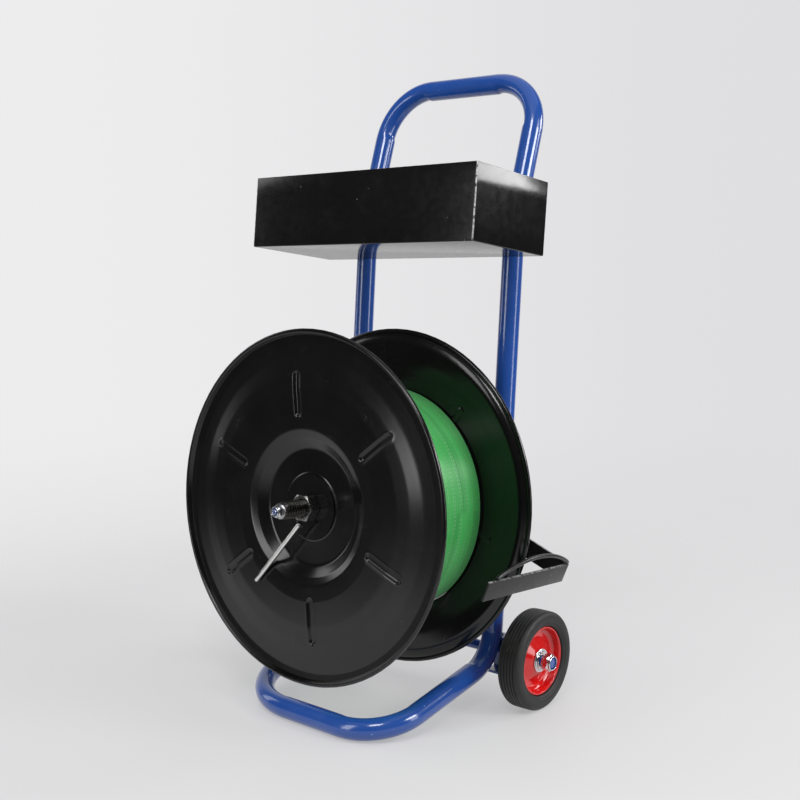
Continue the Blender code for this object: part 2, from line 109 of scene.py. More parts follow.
class Shader:
    """Short way to write a node material around one Principled BSDF."""

    def __init__(self, name):
        self.mat = bpy.data.materials.new(name)
        self.mat.use_nodes = True
        self.nodes = self.mat.node_tree.nodes
        self.links = self.mat.node_tree.links
        self.bsdf = self.nodes["Principled BSDF"]
        self.place = self.node("ShaderNodeTexCoord").outputs["Object"]

    def node(self, kind, **settings):
        item = self.nodes.new(kind)
        for key, value in settings.items():
            setattr(item, key, value)
        return item

    def feed(self, socket, value):
        if isinstance(value, bpy.types.NodeSocket):
            self.links.new(value, socket)
        else:
            socket.default_value = value

    def math(self, operation, a, b=0.0):
        item = self.node("ShaderNodeMath", operation=operation)
        self.feed(item.inputs[0], a)
        self.feed(item.inputs[1], b)
        return item.outputs[0]

    def times(self, a, b):
        return self.math("MULTIPLY", a, b)

    def noise(self, scale, detail=3.0, vector=None, rough=0.5):
        item = self.node("ShaderNodeTexNoise")
        self.feed(item.inputs["Vector"], vector or self.place)
        item.inputs["Scale"].default_value = scale
        item.inputs["Detail"].default_value = detail
        item.inputs["Roughness"].default_value = rough
        return item.outputs["Fac"]

    def cells(self, scale):
        item = self.node("ShaderNodeTexVoronoi")
        self.feed(item.inputs["Vector"], self.place)
        item.inputs["Scale"].default_value = scale
        return item.outputs["Distance"], item.outputs["Color"]

    def span(self, value, low, high, to_low=0.0, to_high=1.0):
        item = self.node("ShaderNodeMapRange")
        self.feed(item.inputs["Value"], value)
        for key, number in zip(("From Min", "From Max", "To Min", "To Max"),
                               (low, high, to_low, to_high)):
            item.inputs[key].default_value = number
        return item.outputs[0]

    def mix(self, amount, a, b):
        item = self.node("ShaderNodeMix", data_type="RGBA")
        self.feed(item.inputs["Factor"], amount)
        for socket, value in zip(rgba_sockets(item.inputs), (a, b)):
            self.feed(socket, (*value, 1.0) if isinstance(value, tuple) else value)
        return rgba_sockets(item.outputs)[0]

    def attribute(self, name):
        return self.node("ShaderNodeAttribute", attribute_name=name).outputs["Fac"]

    def bump(self, height, distance, strength=1.0, under=None):
        item = self.node("ShaderNodeBump")
        item.inputs["Strength"].default_value = strength
        item.inputs["Distance"].default_value = distance
        self.feed(item.inputs["Height"], height)
        if under is not None:
            self.links.new(under, item.inputs["Normal"])
        return item.outputs[0]

    def polar(self):
        """(radius, angle, height) of the local frame, for marks that follow a lathe."""
        split = self.node("ShaderNodeSeparateXYZ")
        self.links.new(self.place, split.inputs[0])
        x, y, z = split.outputs
        radius = self.math("SQRT", self.math("ADD", self.times(x, x), self.times(y, y)))
        return radius, self.math("ARCTAN2", y, x), z

    def join(self, x, y, z):
        item = self.node("ShaderNodeCombineXYZ")
        for socket, value in zip(item.inputs, (x, y, z)):
            self.feed(socket, value)
        return item.outputs[0]

    def set(self, **values):
        for key, value in values.items():
            socket = self.bsdf.inputs[key.replace("_", " ")]
            if isinstance(value, tuple) and len(value) == 3 and socket.type == "RGBA":
                value = (*value, 1.0)
            self.feed(socket, value)

    def fixed(self, key, value):
        self.bsdf.inputs[key].default_value = value


def tint(colour, factor):
    return tuple(min(c * factor, 1.0) for c in colour)


def paint(name, colour, rough, spread=0.08, peel=260.0, peel_depth=0.00006, tone=0.1,
          speck=0.0, speck_colour=(0.5, 0.5, 0.5), dust=0.0, dust_colour=(0.3, 0.3, 0.29),
          coat=0.0, coat_rough=0.06, wear=None):
    """Sprayed finish: slow tone shifts, orange peel, specks, dust and worn edges."""
    s = Shader(name)
    broad = s.noise(7.0, 3.0)
    fine = s.noise(90.0, 4.0)
    base = s.mix(s.span(broad, 0.3, 0.7), tint(colour, 1.0 - tone), tint(colour, 1.0 + tone))
    rough_at = s.span(fine, 0.25, 0.75, max(rough - spread, 0.02), rough + spread)
    if dust:
        cloud = s.times(s.span(s.noise(22.0, 6.0, rough=0.65), 0.5, 0.75),
                       s.span(s.noise(900.0, 2.0), 0.45, 0.62))
        base = s.mix(s.times(cloud, dust), base, dust_colour)
    if speck:
        near, shade = s.cells(95.0)
        pick = s.node("ShaderNodeSeparateColor")
        s.links.new(shade, pick.inputs[0])
        chosen = s.math("GREATER_THAN", pick.outputs[0], 1.0 - speck)
        dot = s.times(s.math("LESS_THAN", near, 0.075), chosen)
        base = s.mix(dot, base, speck_colour)
    if wear:
        mark = s.times(s.attribute("wear"), s.span(s.noise(160.0, 5.0), 0.38, 0.56))
        base = s.mix(mark, base, wear)
        rough_at = s.math("ADD", rough_at, s.times(mark, 0.2))
    s.set(Base_Color=base, Roughness=rough_at)
    peel_map = s.bump(s.noise(peel, 2.0), peel_depth)
    s.set(Normal=s.bump(s.noise(18.0, 2.0), 0.0006, 0.5, peel_map))
    if coat:
        s.fixed("Coat Weight", coat)
        s.fixed("Coat Roughness", coat_rough)
    return s.mat


def metal(name, colour, rough, spread=0.1, grime=0.25, grime_colour=(0.03, 0.028, 0.026),
          grain=500.0):
    """Plated or bare steel: fine grain, cloudy tarnish and darker patches."""
    s = Shader(name)
    cloud = s.noise(60.0, 5.0, rough=0.6)
    fine = s.noise(grain, 3.0)
    base = s.mix(s.span(cloud, 0.3, 0.7), tint(colour, 0.85), tint(colour, 1.1))
    base = s.mix(s.times(s.span(s.noise(130.0, 6.0, rough=0.7), 0.52, 0.72), grime),
                 base, grime_colour)
    s.set(Base_Color=base, Roughness=s.span(fine, 0.3, 0.7, max(rough - spread, 0.05),
                                            rough + spread),
          Normal=s.bump(fine, 0.00004, 0.6))
    s.fixed("Metallic", 1.0)
    return s.mat


def disc_paint(name):
    """Black paint on a spun disc: faint rings, fine dust, and a few hairline scratches."""
    s = Shader(name)
    radius, angle = s.polar()[:2]
    rings = s.noise(1.0, 3.0, s.join(s.times(radius, 300.0),
                                     s.times(angle, 1.2), 0.0))
    cloud = s.noise(9.0, 5.0, rough=0.6)
    base = s.mix(s.span(cloud, 0.35, 0.7), (0.0030, 0.0030, 0.0030), (0.0044, 0.0043, 0.0042))
    dust = s.times(s.span(s.noise(16.0, 7.0, rough=0.7), 0.52, 0.74),
                  s.span(s.noise(1100.0, 2.0), 0.55, 0.68))
    base = s.mix(s.times(dust, 0.07), base, (0.26, 0.25, 0.24))
    warped = s.node("ShaderNodeVectorMath", operation="ADD")
    s.links.new(s.place, warped.inputs[0])
    bend = s.node("ShaderNodeTexNoise")
    bend.inputs["Scale"].default_value = 14.0
    s.links.new(s.place, bend.inputs["Vector"])
    s.links.new(bend.outputs["Color"], warped.inputs[1])
    lines = s.node("ShaderNodeTexVoronoi", feature="DISTANCE_TO_EDGE")
    lines.inputs["Scale"].default_value = 11.0
    s.links.new(warped.outputs[0], lines.inputs["Vector"])
    hair = s.times(s.math("LESS_THAN", lines.outputs["Distance"], 0.0035),
                  s.span(s.noise(30.0, 4.0), 0.58, 0.66))
    base = s.mix(s.times(hair, 0.12), base, (0.3, 0.29, 0.28))
    rough = s.math("ADD", s.span(cloud, 0.3, 0.7, 0.165, 0.195), s.span(rings, 0.4, 0.6, 0.0, 0.01))
    s.set(Base_Color=base, Roughness=s.math("ADD", rough, s.times(hair, 0.12)))
    low = s.bump(s.noise(22.0, 2.0), 0.00018, 0.35)
    s.set(Normal=s.bump(s.noise(420.0, 2.0), 0.000012, 0.4, low))
    return s.mat


def strap_plastic(name):
    """Extruded strapping: streaks along it, satin bands, embossed dashes at its edges, painted
    shade in seams.
    """
    s = Shader(name)
    split = s.node("ShaderNodeSeparateXYZ")
    s.links.new(s.node("ShaderNodeUVMap", uv_map="strap").outputs[0], split.inputs[0])
    along, turn = split.outputs[0], split.outputs[1]
    streak = s.noise(1.0, 4.0, s.join(s.times(along, 1.3),
                                      s.times(turn, 16.0), 0.0))
    layer = s.node("ShaderNodeTexWhiteNoise", noise_dimensions="1D")
    s.links.new(s.math("FLOOR", turn), layer.inputs["W"])
    base = s.mix(s.span(streak, 0.3, 0.7), (0.010, 0.22, 0.03), (0.026, 0.36, 0.062))
    base = s.mix(s.times(layer.outputs["Value"], 0.3), base, (0.06, 0.5, 0.1))
    inside = s.math("FRACT", turn)
    offset = s.math("ABSOLUTE", s.math("SUBTRACT", inside, 0.5))
    # painted shade: darker green towards both edges of each turn, in the seams where neighbouring
    # turns meet
    edge = s.times(s.span(offset, 0.455, 0.49), 0.55)
    base = s.mix(edge, base, (0.006, 0.13, 0.02))
    row = s.math("LESS_THAN", s.math("ABSOLUTE", s.math("SUBTRACT", offset, 0.4)), 0.022)
    dash = s.math("LESS_THAN", s.math("FRACT", s.times(along, 170.0)), 0.58)
    shown = s.span(s.noise(1.0, 2.0, s.join(s.times(along, 6.0), turn, 3.0)), 0.4, 0.55)
    mark = s.times(s.times(row, dash), shown)
    base = s.mix(s.times(mark, 0.62), base, (0.36, 0.66, 0.4))
    s.set(Base_Color=base, Roughness=s.span(streak, 0.3, 0.7, 0.36, 0.44))
    first = s.bump(streak, 0.00005, 0.6)
    s.set(Normal=s.bump(mark, 0.00008, 0.7, first))
    s.fixed("Anisotropic", 0.85)
    s.fixed("Anisotropic Rotation", 0.25)
    s.fixed("Specular IOR Level", 0.95)
    s.fixed("Sheen Weight", 0.15)
    s.fixed("Subsurface Weight", 0.0)
    return s.mat


def rubber(name):
    """Moulded black rubber with grey bloom and brown dust held in the tread."""
    s = Shader(name)
    radius, angle, height = s.polar()
    cloud = s.noise(26.0, 6.0, rough=0.65)
    base = s.mix(s.span(cloud, 0.35, 0.7), (0.0062, 0.0062, 0.006), (0.0125, 0.012, 0.0112))
    near = s.cells(240.0)[0]
    grit = s.times(s.math("LESS_THAN", near, 0.16),
                  s.span(s.noise(45.0, 4.0), 0.55, 0.62))
    tread = s.span(radius, 0.0700, 0.0735)
    base = s.mix(s.times(grit, s.times(tread, 0.55)), base,
                 (0.2, 0.17, 0.11))
    scuff = s.times(s.span(s.noise(1.0, 4.0, s.join(
        s.times(radius, 150.0), s.times(angle, 3.0), height)), 0.55, 0.75),
        0.25)
    base = s.mix(scuff, base, (0.042, 0.04, 0.036))
    s.set(Base_Color=base, Roughness=s.span(cloud, 0.3, 0.7, 0.46, 0.64))
    s.set(Normal=s.bump(s.noise(700.0, 3.0), 0.00008, 0.6, s.bump(cloud, 0.0003, 0.4)))
    return s.mat


def board(name):
    """Wound grey-brown paper tube."""
    s = Shader(name)
    radius, angle, height = s.polar()
    wind = s.noise(1.0, 4.0, s.join(s.times(radius, 2600.0),
                                    s.times(angle, 1.5),
                                    s.times(height, 30.0)))
    base = s.mix(s.span(wind, 0.3, 0.7), (0.3, 0.2, 0.11), (0.46, 0.34, 0.21))
    s.set(Base_Color=base, Roughness=s.span(wind, 0.3, 0.7, 0.75, 0.9),
          Normal=s.bump(wind, 0.0002, 0.6))
    return s.mat


def floor_paint(name):
    """Pale studio paper that thins out to nothing far from the object."""
    s = Shader(name)
    radius = s.polar()[0]
    tone = s.mix(s.span(s.noise(1.3, 3.0), 0.3, 0.7), (0.285, 0.283, 0.285), (0.300, 0.298, 0.300))
    scuff = s.times(s.span(s.noise(7.0, 8.0, rough=0.75), 0.66, 0.8), 0.05)
    s.set(Base_Color=s.mix(scuff, tone, (0.2, 0.19, 0.18)), Roughness=0.55)
    s.fixed("Emission Color", (0.36, 0.358, 0.362, 1.0))
    s.fixed("Emission Strength", 1.0)
    s.fixed("Specular IOR Level", 0.2)
    s.fixed("Roughness", 0.55)
    clear = s.node("ShaderNodeBsdfTransparent")
    blend = s.node("ShaderNodeMixShader")
    near = s.math("DIVIDE", 1.0, s.math("MAXIMUM", radius, 0.05))
    fade = s.span(near, 1.0 / 0.75, 1.0 / 3.6)
    fade.node.interpolation_type = "SMOOTHSTEP"
    s.links.new(fade, blend.inputs[0])
    s.links.new(s.bsdf.outputs[0], blend.inputs[1])
    s.links.new(clear.outputs[0], blend.inputs[2])
    s.links.new(blend.outputs[0], s.nodes["Material Output"].inputs["Surface"])
    return s.mat


BLUE = (0.012, 0.058, 0.262)
MAT = {
    "blue": paint("powder_blue", BLUE, 0.2, 0.05, 210.0, 0.00008, 0.08, 0.16, (0.3, 0.38, 0.55),
                  0.1, (0.25, 0.3, 0.4), 0.55, 0.05),
    # painted shade: the frame's blue made darker, with more specks and dust, for the axle channels
    # and their welds that sit in shade under the reel
    "blue_painted_shade": paint("powder_blue_painted_shade", tint(BLUE, 0.75), 0.26, 0.08, 210.0, 0.00008, 0.12,
                       0.25, (0.2, 0.24, 0.32), 0.25, (0.12, 0.13, 0.17), 0.4, 0.1),
    "tray": paint("tray_black", (0.0042, 0.0042, 0.0042), 0.16, 0.03, 330.0, 0.00002, 0.15, 0.1,
                  (0.16, 0.16, 0.16), 0.04, (0.2, 0.2, 0.2), 0.0, 0.05, (0.42, 0.41, 0.4)),
    "disc": disc_paint("flange_black"),
    "bar": paint("bar_black", (0.0085, 0.0085, 0.0085), 0.3, 0.08, 420.0, 0.00005, 0.2, 0.2,
                 (0.2, 0.2, 0.2), 0.15, (0.2, 0.2, 0.2), 0.0, 0.05, (0.2, 0.2, 0.2)),
    "thread": metal("oiled_thread", (0.06, 0.058, 0.055), 0.34, 0.14, 0.75, (0.01, 0.009, 0.008)),
    "nut": metal("nut_steel", (0.23, 0.23, 0.225), 0.27, 0.1, 0.55, (0.03, 0.028, 0.025)),
    "lever": metal("lever_steel", (0.78, 0.775, 0.76), 0.11, 0.05, 0.1),
    "zinc": metal("zinc_plate", (0.72, 0.73, 0.745), 0.2, 0.08, 0.16, (0.2, 0.19, 0.17)),
    "seal": paint("nylon_insert", (0.02, 0.06, 0.2), 0.35),
    "strap": strap_plastic("strap_green"),
    "tape": paint("paper_tape", (0.6, 0.6, 0.57), 0.6, 0.1, 700.0, 0.00005, 0.15),
    "board": board("core_board"),
    "rubber": rubber("tyre_rubber"),
    "red": paint("rim_red", (0.53, 0.0055, 0.006), 0.13, 0.04, 240.0, 0.00004, 0.08, 0.0,
                 (0.3, 0.3, 0.3), 0.03, (0.4, 0.2, 0.18), 0.5, 0.04),
}


# ---------------------------------------------------------------- meshes
def mesh_of(name, skin, bevel=0.0):
    """Mesh with outward normals from (vertices, faces) in millimetres."""
    verts, faces = skin
    mesh = bpy.data.meshes.new(name)
    mesh.from_pydata([tuple(c * MM for c in v) for v in verts], [], faces)
    work = bmesh.new()
    work.from_mesh(mesh)
    bmesh.ops.recalc_face_normals(work, faces=work.faces)
    if bevel:
        edges = [e for e in work.edges
                 if e.is_manifold and e.calc_face_angle(0.0) > math.radians(40.0)]
        bmesh.ops.bevel(work, geom=edges, offset=bevel * MM, segments=2, profile=0.5,
                        affect="EDGES", clamp_overlap=True)
    work.to_mesh(mesh)
    work.free()
    return mesh


def linked(name, data):
    obj = bpy.data.objects.new(name, data)
    bpy.context.scene.collection.objects.link(obj)
    return obj


def show(mesh, finish, body, matrix, replaces=(), sharp=38.0):
    """Put a mesh in the scene as a piece of the given body, in the given frame."""
    mesh.shade_smooth()
    mesh.set_sharp_from_angle(angle=math.radians(sharp))
    mesh.materials.append(MAT[finish])
    obj = linked(mesh.name, mesh)
    obj.matrix_world = matrix
    if body:
        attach(obj, body)
    if replaces:
        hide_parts(*replaces)
    return obj


def piece(name, skin, finish, body, matrix, replaces=(), sharp=38.0, bevel=0.0):
    return show(mesh_of(name, skin, bevel), finish, body, matrix, replaces, sharp)


def mark_wear(obj, amount):
    """Store how worn each vertex is; amount is a function of its place in millimetres."""
    wear = obj.data.attributes.new("wear", "FLOAT", "POINT")
    for vertex, value in zip(obj.data.vertices, wear.data):
        value.value = amount(*(c / MM for c in vertex.co))


def carve(obj, skin, matrix):
    """Take a closed skin's shape out of a piece's mesh."""
    tool = linked("carver", mesh_of("carver", skin))
    tool.matrix_world = matrix
    cut = obj.modifiers.new("cut", "BOOLEAN")
    cut.operation = "DIFFERENCE"
    cut.solver = "EXACT"
    cut.object = tool
    bpy.context.view_layer.update()
    shaped = obj.evaluated_get(bpy.context.evaluated_depsgraph_get())
    result = bpy.data.meshes.new_from_object(shaped)
    obj.modifiers.remove(cut)
    obj.data = result
    bpy.data.objects.remove(tool)
    result.set_sharp_from_angle(angle=math.radians(30.0))


def join_skins(skins):
    """One skin from several, without merging them."""
    verts, faces = [], []
    for more, shapes in skins:
        start = len(verts)
        verts += [tuple(v) for v in more]
        faces += [[i + start for i in shape] for shape in shapes]
    return verts, faces


def even(count, start=0.0):
    """Equally spaced angles round a circle."""
    return [start + TAU * i / count for i in range(count)]


def ring_faces(rows, count, closed):
    """Faces between rows of points, joined end to end or capped at both ends."""
    faces = []
    for i in range(rows if closed else rows - 1):
        m = (i + 1) % rows
        for j in range(count):
            k = (j + 1) % count
            faces.append((i * count + j, i * count + k, m * count + k, m * count + j))
    if not closed:
        faces.append(tuple(range(count)))
        faces.append(tuple((rows - 1) * count + j for j in range(count)))
    return faces


def lathe(rings, angles, closed=True):
    """Skin about local Z; a ring is (radius, height) or a function of the angle giving them."""
    verts = []
    for ring in rings:
        for angle in angles:
            radius, height = ring(angle) if callable(ring) else ring
            verts.append(polar(radius, angle, height))
    return verts, ring_faces(len(rings), len(angles), closed)


def fillet(points, radii, steps=4, closed=True):
    """Round the corners of a flat outline; radii holds one number for all or one per corner."""
    count = len(points)
    if not hasattr(radii, "__len__"):
        radii = [radii] * count
    out = []
    for i, point in enumerate(points):
        if not closed and i in (0, count - 1) or not radii[i]:
            out.append(tuple(point))
            continue
        here = Vector(point)
        back = Vector(points[i - 1]) - here
        ahead = Vector(points[(i + 1) % count]) - here
        turn = math.pi - back.angle(ahead)
        if turn < 0.02:
            out.append(tuple(point))
            continue
        reach = min(radii[i] * math.tan(turn / 2.0), back.length * 0.49, ahead.length * 0.49)
        start = here + back.normalized() * reach
        end = here + ahead.normalized() * reach
        for k in range(steps + 1):
            t = k / steps
            a = start.lerp(here, t)
            b = here.lerp(end, t)
            out.append(tuple(a.lerp(b, t)))
    return out


def sweep(path, radius, sides, closed=False, seed_axis=None):
    """Round skin along a path; radius is a number or a function of (step, direction)."""
    points = [Vector(p) for p in path]
    count = len(points)
    tangents = []
    for i in range(count):
        before = points[i - 1] if closed or i else points[i]
        after = points[(i + 1) % count] if closed or i < count - 1 else points[i]
        tangents.append((after - before).normalized())
    first = (seed_axis or tangents[0].orthogonal()).normalized()
    verts = []
    for i, (point, tangent) in enumerate(zip(points, tangents)):
        first = (first - tangent * first.dot(tangent)).normalized()
        second = tangent.cross(first)
        for j in range(sides):
            angle = TAU * j / sides
            out = first * math.cos(angle) + second * math.sin(angle)
            reach = radius(i, out) if callable(radius) else radius
            verts.append(tuple(point + out * reach))
    return verts, ring_faces(count, sides, closed)


def extrude(outline, low, high):
    """Prism of a flat outline along local Z."""
    verts = [(u, v, depth) for depth in (low, high) for u, v in outline]
    return verts, ring_faces(2, len(outline), False)


def weld(path, size=2.6, seed=0.0, ripple=3.2):
    """Weld bead: a rippled, slightly wandering cord along the path."""
    points = [Vector(p) for p in path]
    dense = []
    for a, b in zip(points, points[1:]):
        steps = max(1, int((b - a).length / 0.9))
        dense += [a.lerp(b, i / steps) for i in range(steps)]
    dense.append(points[-1])
    total = len(dense)

    def radius(i, out):
        end = min(i, total - 1 - i)
        taper = smooth(-1.0, 3.0, end)
        wave = 0.16 * math.cos(TAU * i * 0.9 / ripple)
        lump = 0.22 * noise.noise(Vector((i * 0.35 + seed, seed, out.z * 0.6)))
        return size * taper * (0.85 + wave + lump)

    return sweep(dense, radius, 9)


def hexagon(across, start):
    """Radius of a hexagon with slightly turned corners, as a function of the angle."""
    flat = across / 2.0

    def reach(angle):
        turn = (angle - start) % (TAU / 6.0) - TAU / 12.0
        return min(flat / math.cos(turn), flat * 1.147)
    return reach


def chamfered(reach, rim, level, slope):
    """Ring on a hexagon whose corners slope away from the level outside the rim radius."""
    def ring(angle):
        r = reach(angle)
        return r, level + max(0.0, r - rim) * slope
    return ring


CHAMFER_SLOPE = math.tan(math.radians(30.0))


def hex_nut(across, bore, low, high, chamfer):
    """Hexagon nut with its 30 degree chamfers and a countersunk bore."""
    rim = across / 2.0 * 0.985
    reach = hexagon(across, 0.0)
    rings = [(bore, low + chamfer), (bore, high - chamfer), (bore + chamfer, high),
             (rim - 0.15, high), (rim, high - 0.04), chamfered(reach, rim, high, -CHAMFER_SLOPE),
             chamfered(reach, rim, low, CHAMFER_SLOPE), (rim, low + 0.04), (rim - 0.15, low),
             (bore + chamfer, low)]
    return lathe(rings, even(96))


def annulus(inner, outer, low, high, edge):
    """Section of a flat ring with its edges rounded."""
    return fillet([(inner, low), (inner, high), (outer, high), (outer, low)], edge, 2)


# ---------------------------------------------------------------- frame tube
TUBE_R = 15.9
FOOT_Z = 16.0
FOOT_FRONT = 304.0
FOOT_RISE = 0.183                         # slope of the foot loop's sides, radians
HANDLE_LEAN = 0.3065
HANDLE_LENGTH = 223.5
KNEE_BEND, HANDLE_BEND, HANDLE_CORNER = 65.0, 200.0, 79.0
FOOT_CORNER_RIGHT, FOOT_CORNER_LEFT = 76.0, 106.0


def find_knee():
    """(y, z) at which the uprights' lean meets the foot loop's slope."""
    rise = math.tan(FOOT_RISE)
    lean = math.tan(LEAN)
    z = (FOOT_Z + rise * (FOOT_FRONT - BEND_Z * lean)) / (1.0 - rise * lean)
    return -(BEND_Z - z) * lean, z


def tube_route():
    """Closed route of the one bent tube: (point, inward direction, how far into a bend)."""
    top = Vector((0.0, math.sin(HANDLE_LEAN), math.cos(HANDLE_LEAN))) * HANDLE_LENGTH
    knee_y, knee_z = find_knee()
    left = [Vector((-HALF, knee_y, knee_z)), Vector((-HALF, 0.0, BEND_Z)),
            Vector((-HALF, 0.0, BEND_Z)) + top]
    right = [Vector((-p.x, p.y, p.z)) for p in reversed(left)]
    front = [Vector((x, -FOOT_FRONT, FOOT_Z)) for x in (HALF, -HALF)]
    corners = left + right + front
    side = [KNEE_BEND, HANDLE_BEND, HANDLE_CORNER]
    radii = side + side[::-1] + [FOOT_CORNER_RIGHT, FOOT_CORNER_LEFT]
    route = []
    count = len(corners)
    for i, corner in enumerate(corners):
        back = (corners[i - 1] - corner).normalized()
        ahead = (corners[(i + 1) % count] - corner).normalized()
        turn = math.pi - back.angle(ahead)
        reach = radii[i] * math.tan(turn / 2.0)
        middle = (back + ahead).normalized()
        centre = corner + middle * (radii[i] / math.cos(turn / 2.0))
        first = corner + back * reach - centre
        axis = first.cross(corner + ahead * reach - centre).normalized()
        steps = max(5, math.ceil(turn / math.radians(3.0)))
        for away in (40.0, 12.0, 5.0, 2.0):
            route.append((corner + back * (reach + away), Vector(), 0.0))
        for k in range(steps + 1):
            spoke = Matrix.Rotation(turn * k / steps, 3, axis) @ first
            depth = min(k, steps - k) / steps * turn * radii[i]
            pinch = smooth(-0.5, 5.0, depth) if radii[i] < HANDLE_BEND else 0.0
            route.append((centre + spoke, -spoke.normalized(), pinch))
        for away in (2.0, 5.0, 12.0, 40.0):
            route.append((corner + ahead * (reach + away), Vector(), 0.0))
    return route


def make_tube():
    """Bent tube, a little flattened on the inside of its tight bends."""
    route = tube_route()
    floor = 0.12

    def radius(i, out):
        point, inward, bent = route[i]
        full = TUBE_R - 0.32 * smooth(860.0, 900.0, point.z)
        if not bent:
            return full
        side = out.dot(inward)
        return full - bent * (0.35 * side * side + 1.5 * smooth(0.25, 0.95, side))

    verts, faces = sweep([r[0] for r in route], radius, 44, True, ACROSS)
    verts = [(x, y, max(z, floor)) for x, y, z in verts]
    piece("frame_tube", (verts, faces), "blue", "frame", WORLD,
          ("handle_loop", "upright_left", "upright_right", "foot_loop"), sharp=60.0)


def upright(side, z):
    """Middle of an upright tube at a height."""
    return Vector((side * HALF, -(BEND_Z - z) * math.tan(LEAN), z))


# ---------------------------------------------------------------- tool tray
TRAY = (426.8, 176.6, 107.9)              # width, depth, height
TRAY_LEAN = 0.1134
TRAY_UP = Vector((0.0, math.sin(TRAY_LEAN), math.cos(TRAY_LEAN)))
TRAY_BACK = TRAY_UP.cross(ACROSS)
TRAY_ROLL = Matrix.Rotation(-0.017, 3, TRAY_BACK)
TRAY_ACROSS = TRAY_ROLL @ ACROSS
TRAY_UP = TRAY_ROLL @ TRAY_UP
TRAY_HEEL = Vector((0.0, -22.4, 676.9))   # middle of the lower back edge
TRAY_MIDDLE = TRAY_HEEL - TRAY_BACK * (TRAY[1] / 2.0) + TRAY_UP * (TRAY[2] / 2.0)
TRAY_FRAME = placed(TRAY_MIDDLE, TRAY_ACROSS, TRAY_BACK, TRAY_UP)


def make_tray():
    """Open sheet box with bent lower edges and worn rims, welded inside at its corners."""
    wide, deep, high = (s / 2.0 for s in TRAY)
    bend = 1.9
    sheet = 1.6

    def outline(gap, corner):
        x, y = wide - gap, deep - gap
        return fillet([(-x, -y), (x, -y), (x, y), (-x, y)], corner, 4)

    def ring(points, shrink, level):
        return [(x * (wide - shrink) / wide, y * (deep - shrink) / deep, level)
                for x, y in points]

    outer, inner = outline(0.0, bend), outline(sheet, 0.6)
    rows = [ring(outer, bend, -high)]
    for k in range(1, 5):
        a = math.radians(90.0 * k / 4.0)
        rows.append(ring(outer, bend * (1.0 - math.sin(a)), -high + bend * (1.0 - math.cos(a))))
    for level in (-high + 30.0, 0.0, high - 30.0, high - 0.5):
        rows.append(ring(outer, 0.0, level))
    rows += [ring(outer, 0.15, high - 0.12), ring(outer, 0.5, high),
             ring(inner, -0.5, high), ring(inner, -0.12, high - 0.15),
             ring(inner, 0.0, high - 0.5), ring(inner, 0.0, 0.0),
             ring(inner, 0.0, -high + sheet + 1.0), ring(inner, 0.3, -high + sheet + 0.3),
             ring(inner, 1.0, -high + sheet)]
    verts = [v for row in rows for v in row]
    faces = ring_faces(len(rows), len(outer), False)
    tray = piece("tray_shell", (verts, faces), "tray", "frame", TRAY_FRAME,
                 ("tool_tray",), sharp=32.0)

    def worn(x, y, z):
        if abs(x) > wide - 1.2 and abs(y) > deep - 1.2:
            return 1.0
        return 0.75 if abs(z - high) < 0.2 else 0.0

    mark_wear(tray, worn)

    seams = []
    for sx in (-1, 1):
        for sy in (-1, 1):
            x = sx * (wide - sheet - 0.2)
            y = sy * (deep - sheet - 0.2)
            seams.append(weld([(x, y, -high + 3.0), (x, y, high - 4.0)], 1.5, 3.0 * sx + sy))
    piece("tray_corner_welds", join_skins(seams), "tray", "frame", TRAY_FRAME)


# ---------------------------------------------------------------- reel
RIBS = [math.radians(37.5 + 60.0 * k) for k in range(6)]


def rib_depth(radius, angle, press):
    """Depth of the six pressed slots at a point of the flange."""
    deep = 0.0
    for rib in RIBS:
        turn = angle - rib
        along = radius * math.cos(turn)
        if along <= 0.0:
            continue
        beyond = max(136.5 - along, along - 190.0, 0.0)
        away = math.hypot(radius * math.sin(turn), beyond)
        if away < 10.0:
            deep = max(deep, press * (1.0 - smooth(2.6, 7.2, away)))
            deep -= 0.08 * press * smooth(6.0, 7.6, away) * (1.0 - smooth(7.6, 10.0, away))
    return deep


def disc_angles():
    fine = [math.radians(-4.5 + 9.0 * i / 28.0) for i in range(29)]
    wide = math.radians(60.0) - 2.0 * fine[-1]
    angles = []
    for rib in RIBS:
        angles += [rib + f for f in fine]
        angles += [rib + fine[-1] + wide * i / 12.0 for i in range(1, 12)]
    return angles


def disc_section(rim_r, sheet=2.0):
    """Outer face of the pressed flange from bore to rim, then its inner face back again."""
    floor = -15.0
    bead = 3.45
    centre = rim_r - bead - 0.15
    face = [(12.9, floor), (45.5, floor), (47.2, floor + 0.8), (48.6, floor + 0.8),
            (50.3, floor), (85.0, floor), (101.0, -5.2), (112.0, -0.6), (135.0, 1.2),
            (172.0, 1.6), (194.0, -0.2), (216.0, -3.2), (238.0, -4.6), (centre - 5.4, -3.2)]
    face = fillet(face, [0, 1, 1, 1, 1, 12, 12, 14, 30, 90, 90, 90, 14, 5], 6, False)
    rim = []
    for degrees in range(165, -141, -15):
        x, y = polar(bead, math.radians(degrees))[:2]
        rim.append((centre + x, 0.15 + y))
    back = [(centre - 4.6, -3.4 - sheet), (238.0, -4.6 - sheet), (216.0, -3.2 - sheet),
            (194.0, -0.2 - sheet), (172.0, 1.6 - sheet), (135.0, 1.2 - sheet),
            (112.0, -0.6 - sheet), (102.5, -5.0 - sheet), (87.0, floor - sheet),
            (12.9, floor - sheet)]
    back = fillet(back, [0, 14, 90, 90, 90, 30, 12, 10, 10, 0], 6, False)
    fine = []
    for points in (face, back):
        filled = []
        for (r0, z0), (r1, z1) in zip(points, points[1:]):
            low, high = min(r0, r1), max(r0, r1)
            steps = 1
            if high > 125.0 and low < 206.0:
                steps = max(1, round((high - low) / 2.3))
            filled += [(r0 + (r1 - r0) * i / steps, z0 + (z1 - z0) * i / steps)
                       for i in range(steps)]
        filled.append(points[-1])
        fine.append(filled)
    return fine[0], rim, fine[1]


